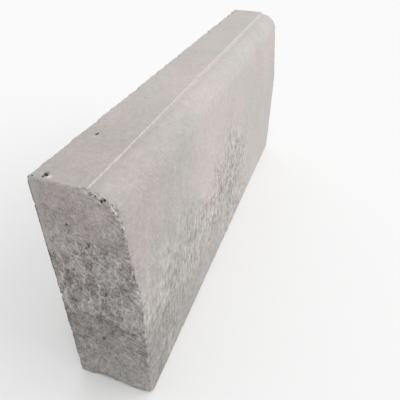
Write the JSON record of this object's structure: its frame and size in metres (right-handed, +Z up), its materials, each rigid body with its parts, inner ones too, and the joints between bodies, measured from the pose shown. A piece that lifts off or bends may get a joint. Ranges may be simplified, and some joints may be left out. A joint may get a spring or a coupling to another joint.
{
  "type": "concrete kerb stone",
  "caption": "Straight one-piece concrete road kerb with an upright foot, a leaning road face, a rounded road-side edge and a flat top strip above a low step.",
  "frame": {"origin": "middle of the bed, which is the flat underside, halfway along the length and halfway across the base width", "axes": "+X along the length, +Y towards the back face, -Y towards the road face, +Z up"},
  "size_m": [1, 0.15, 0.45],
  "materials": {
    "concrete": "matt pressed concrete, light warm grey, with grain, drag marks and small pits"
  },
  "bodies": {
    "root": {"kerb_stone": "concrete"}
  },
  "joints": []
}
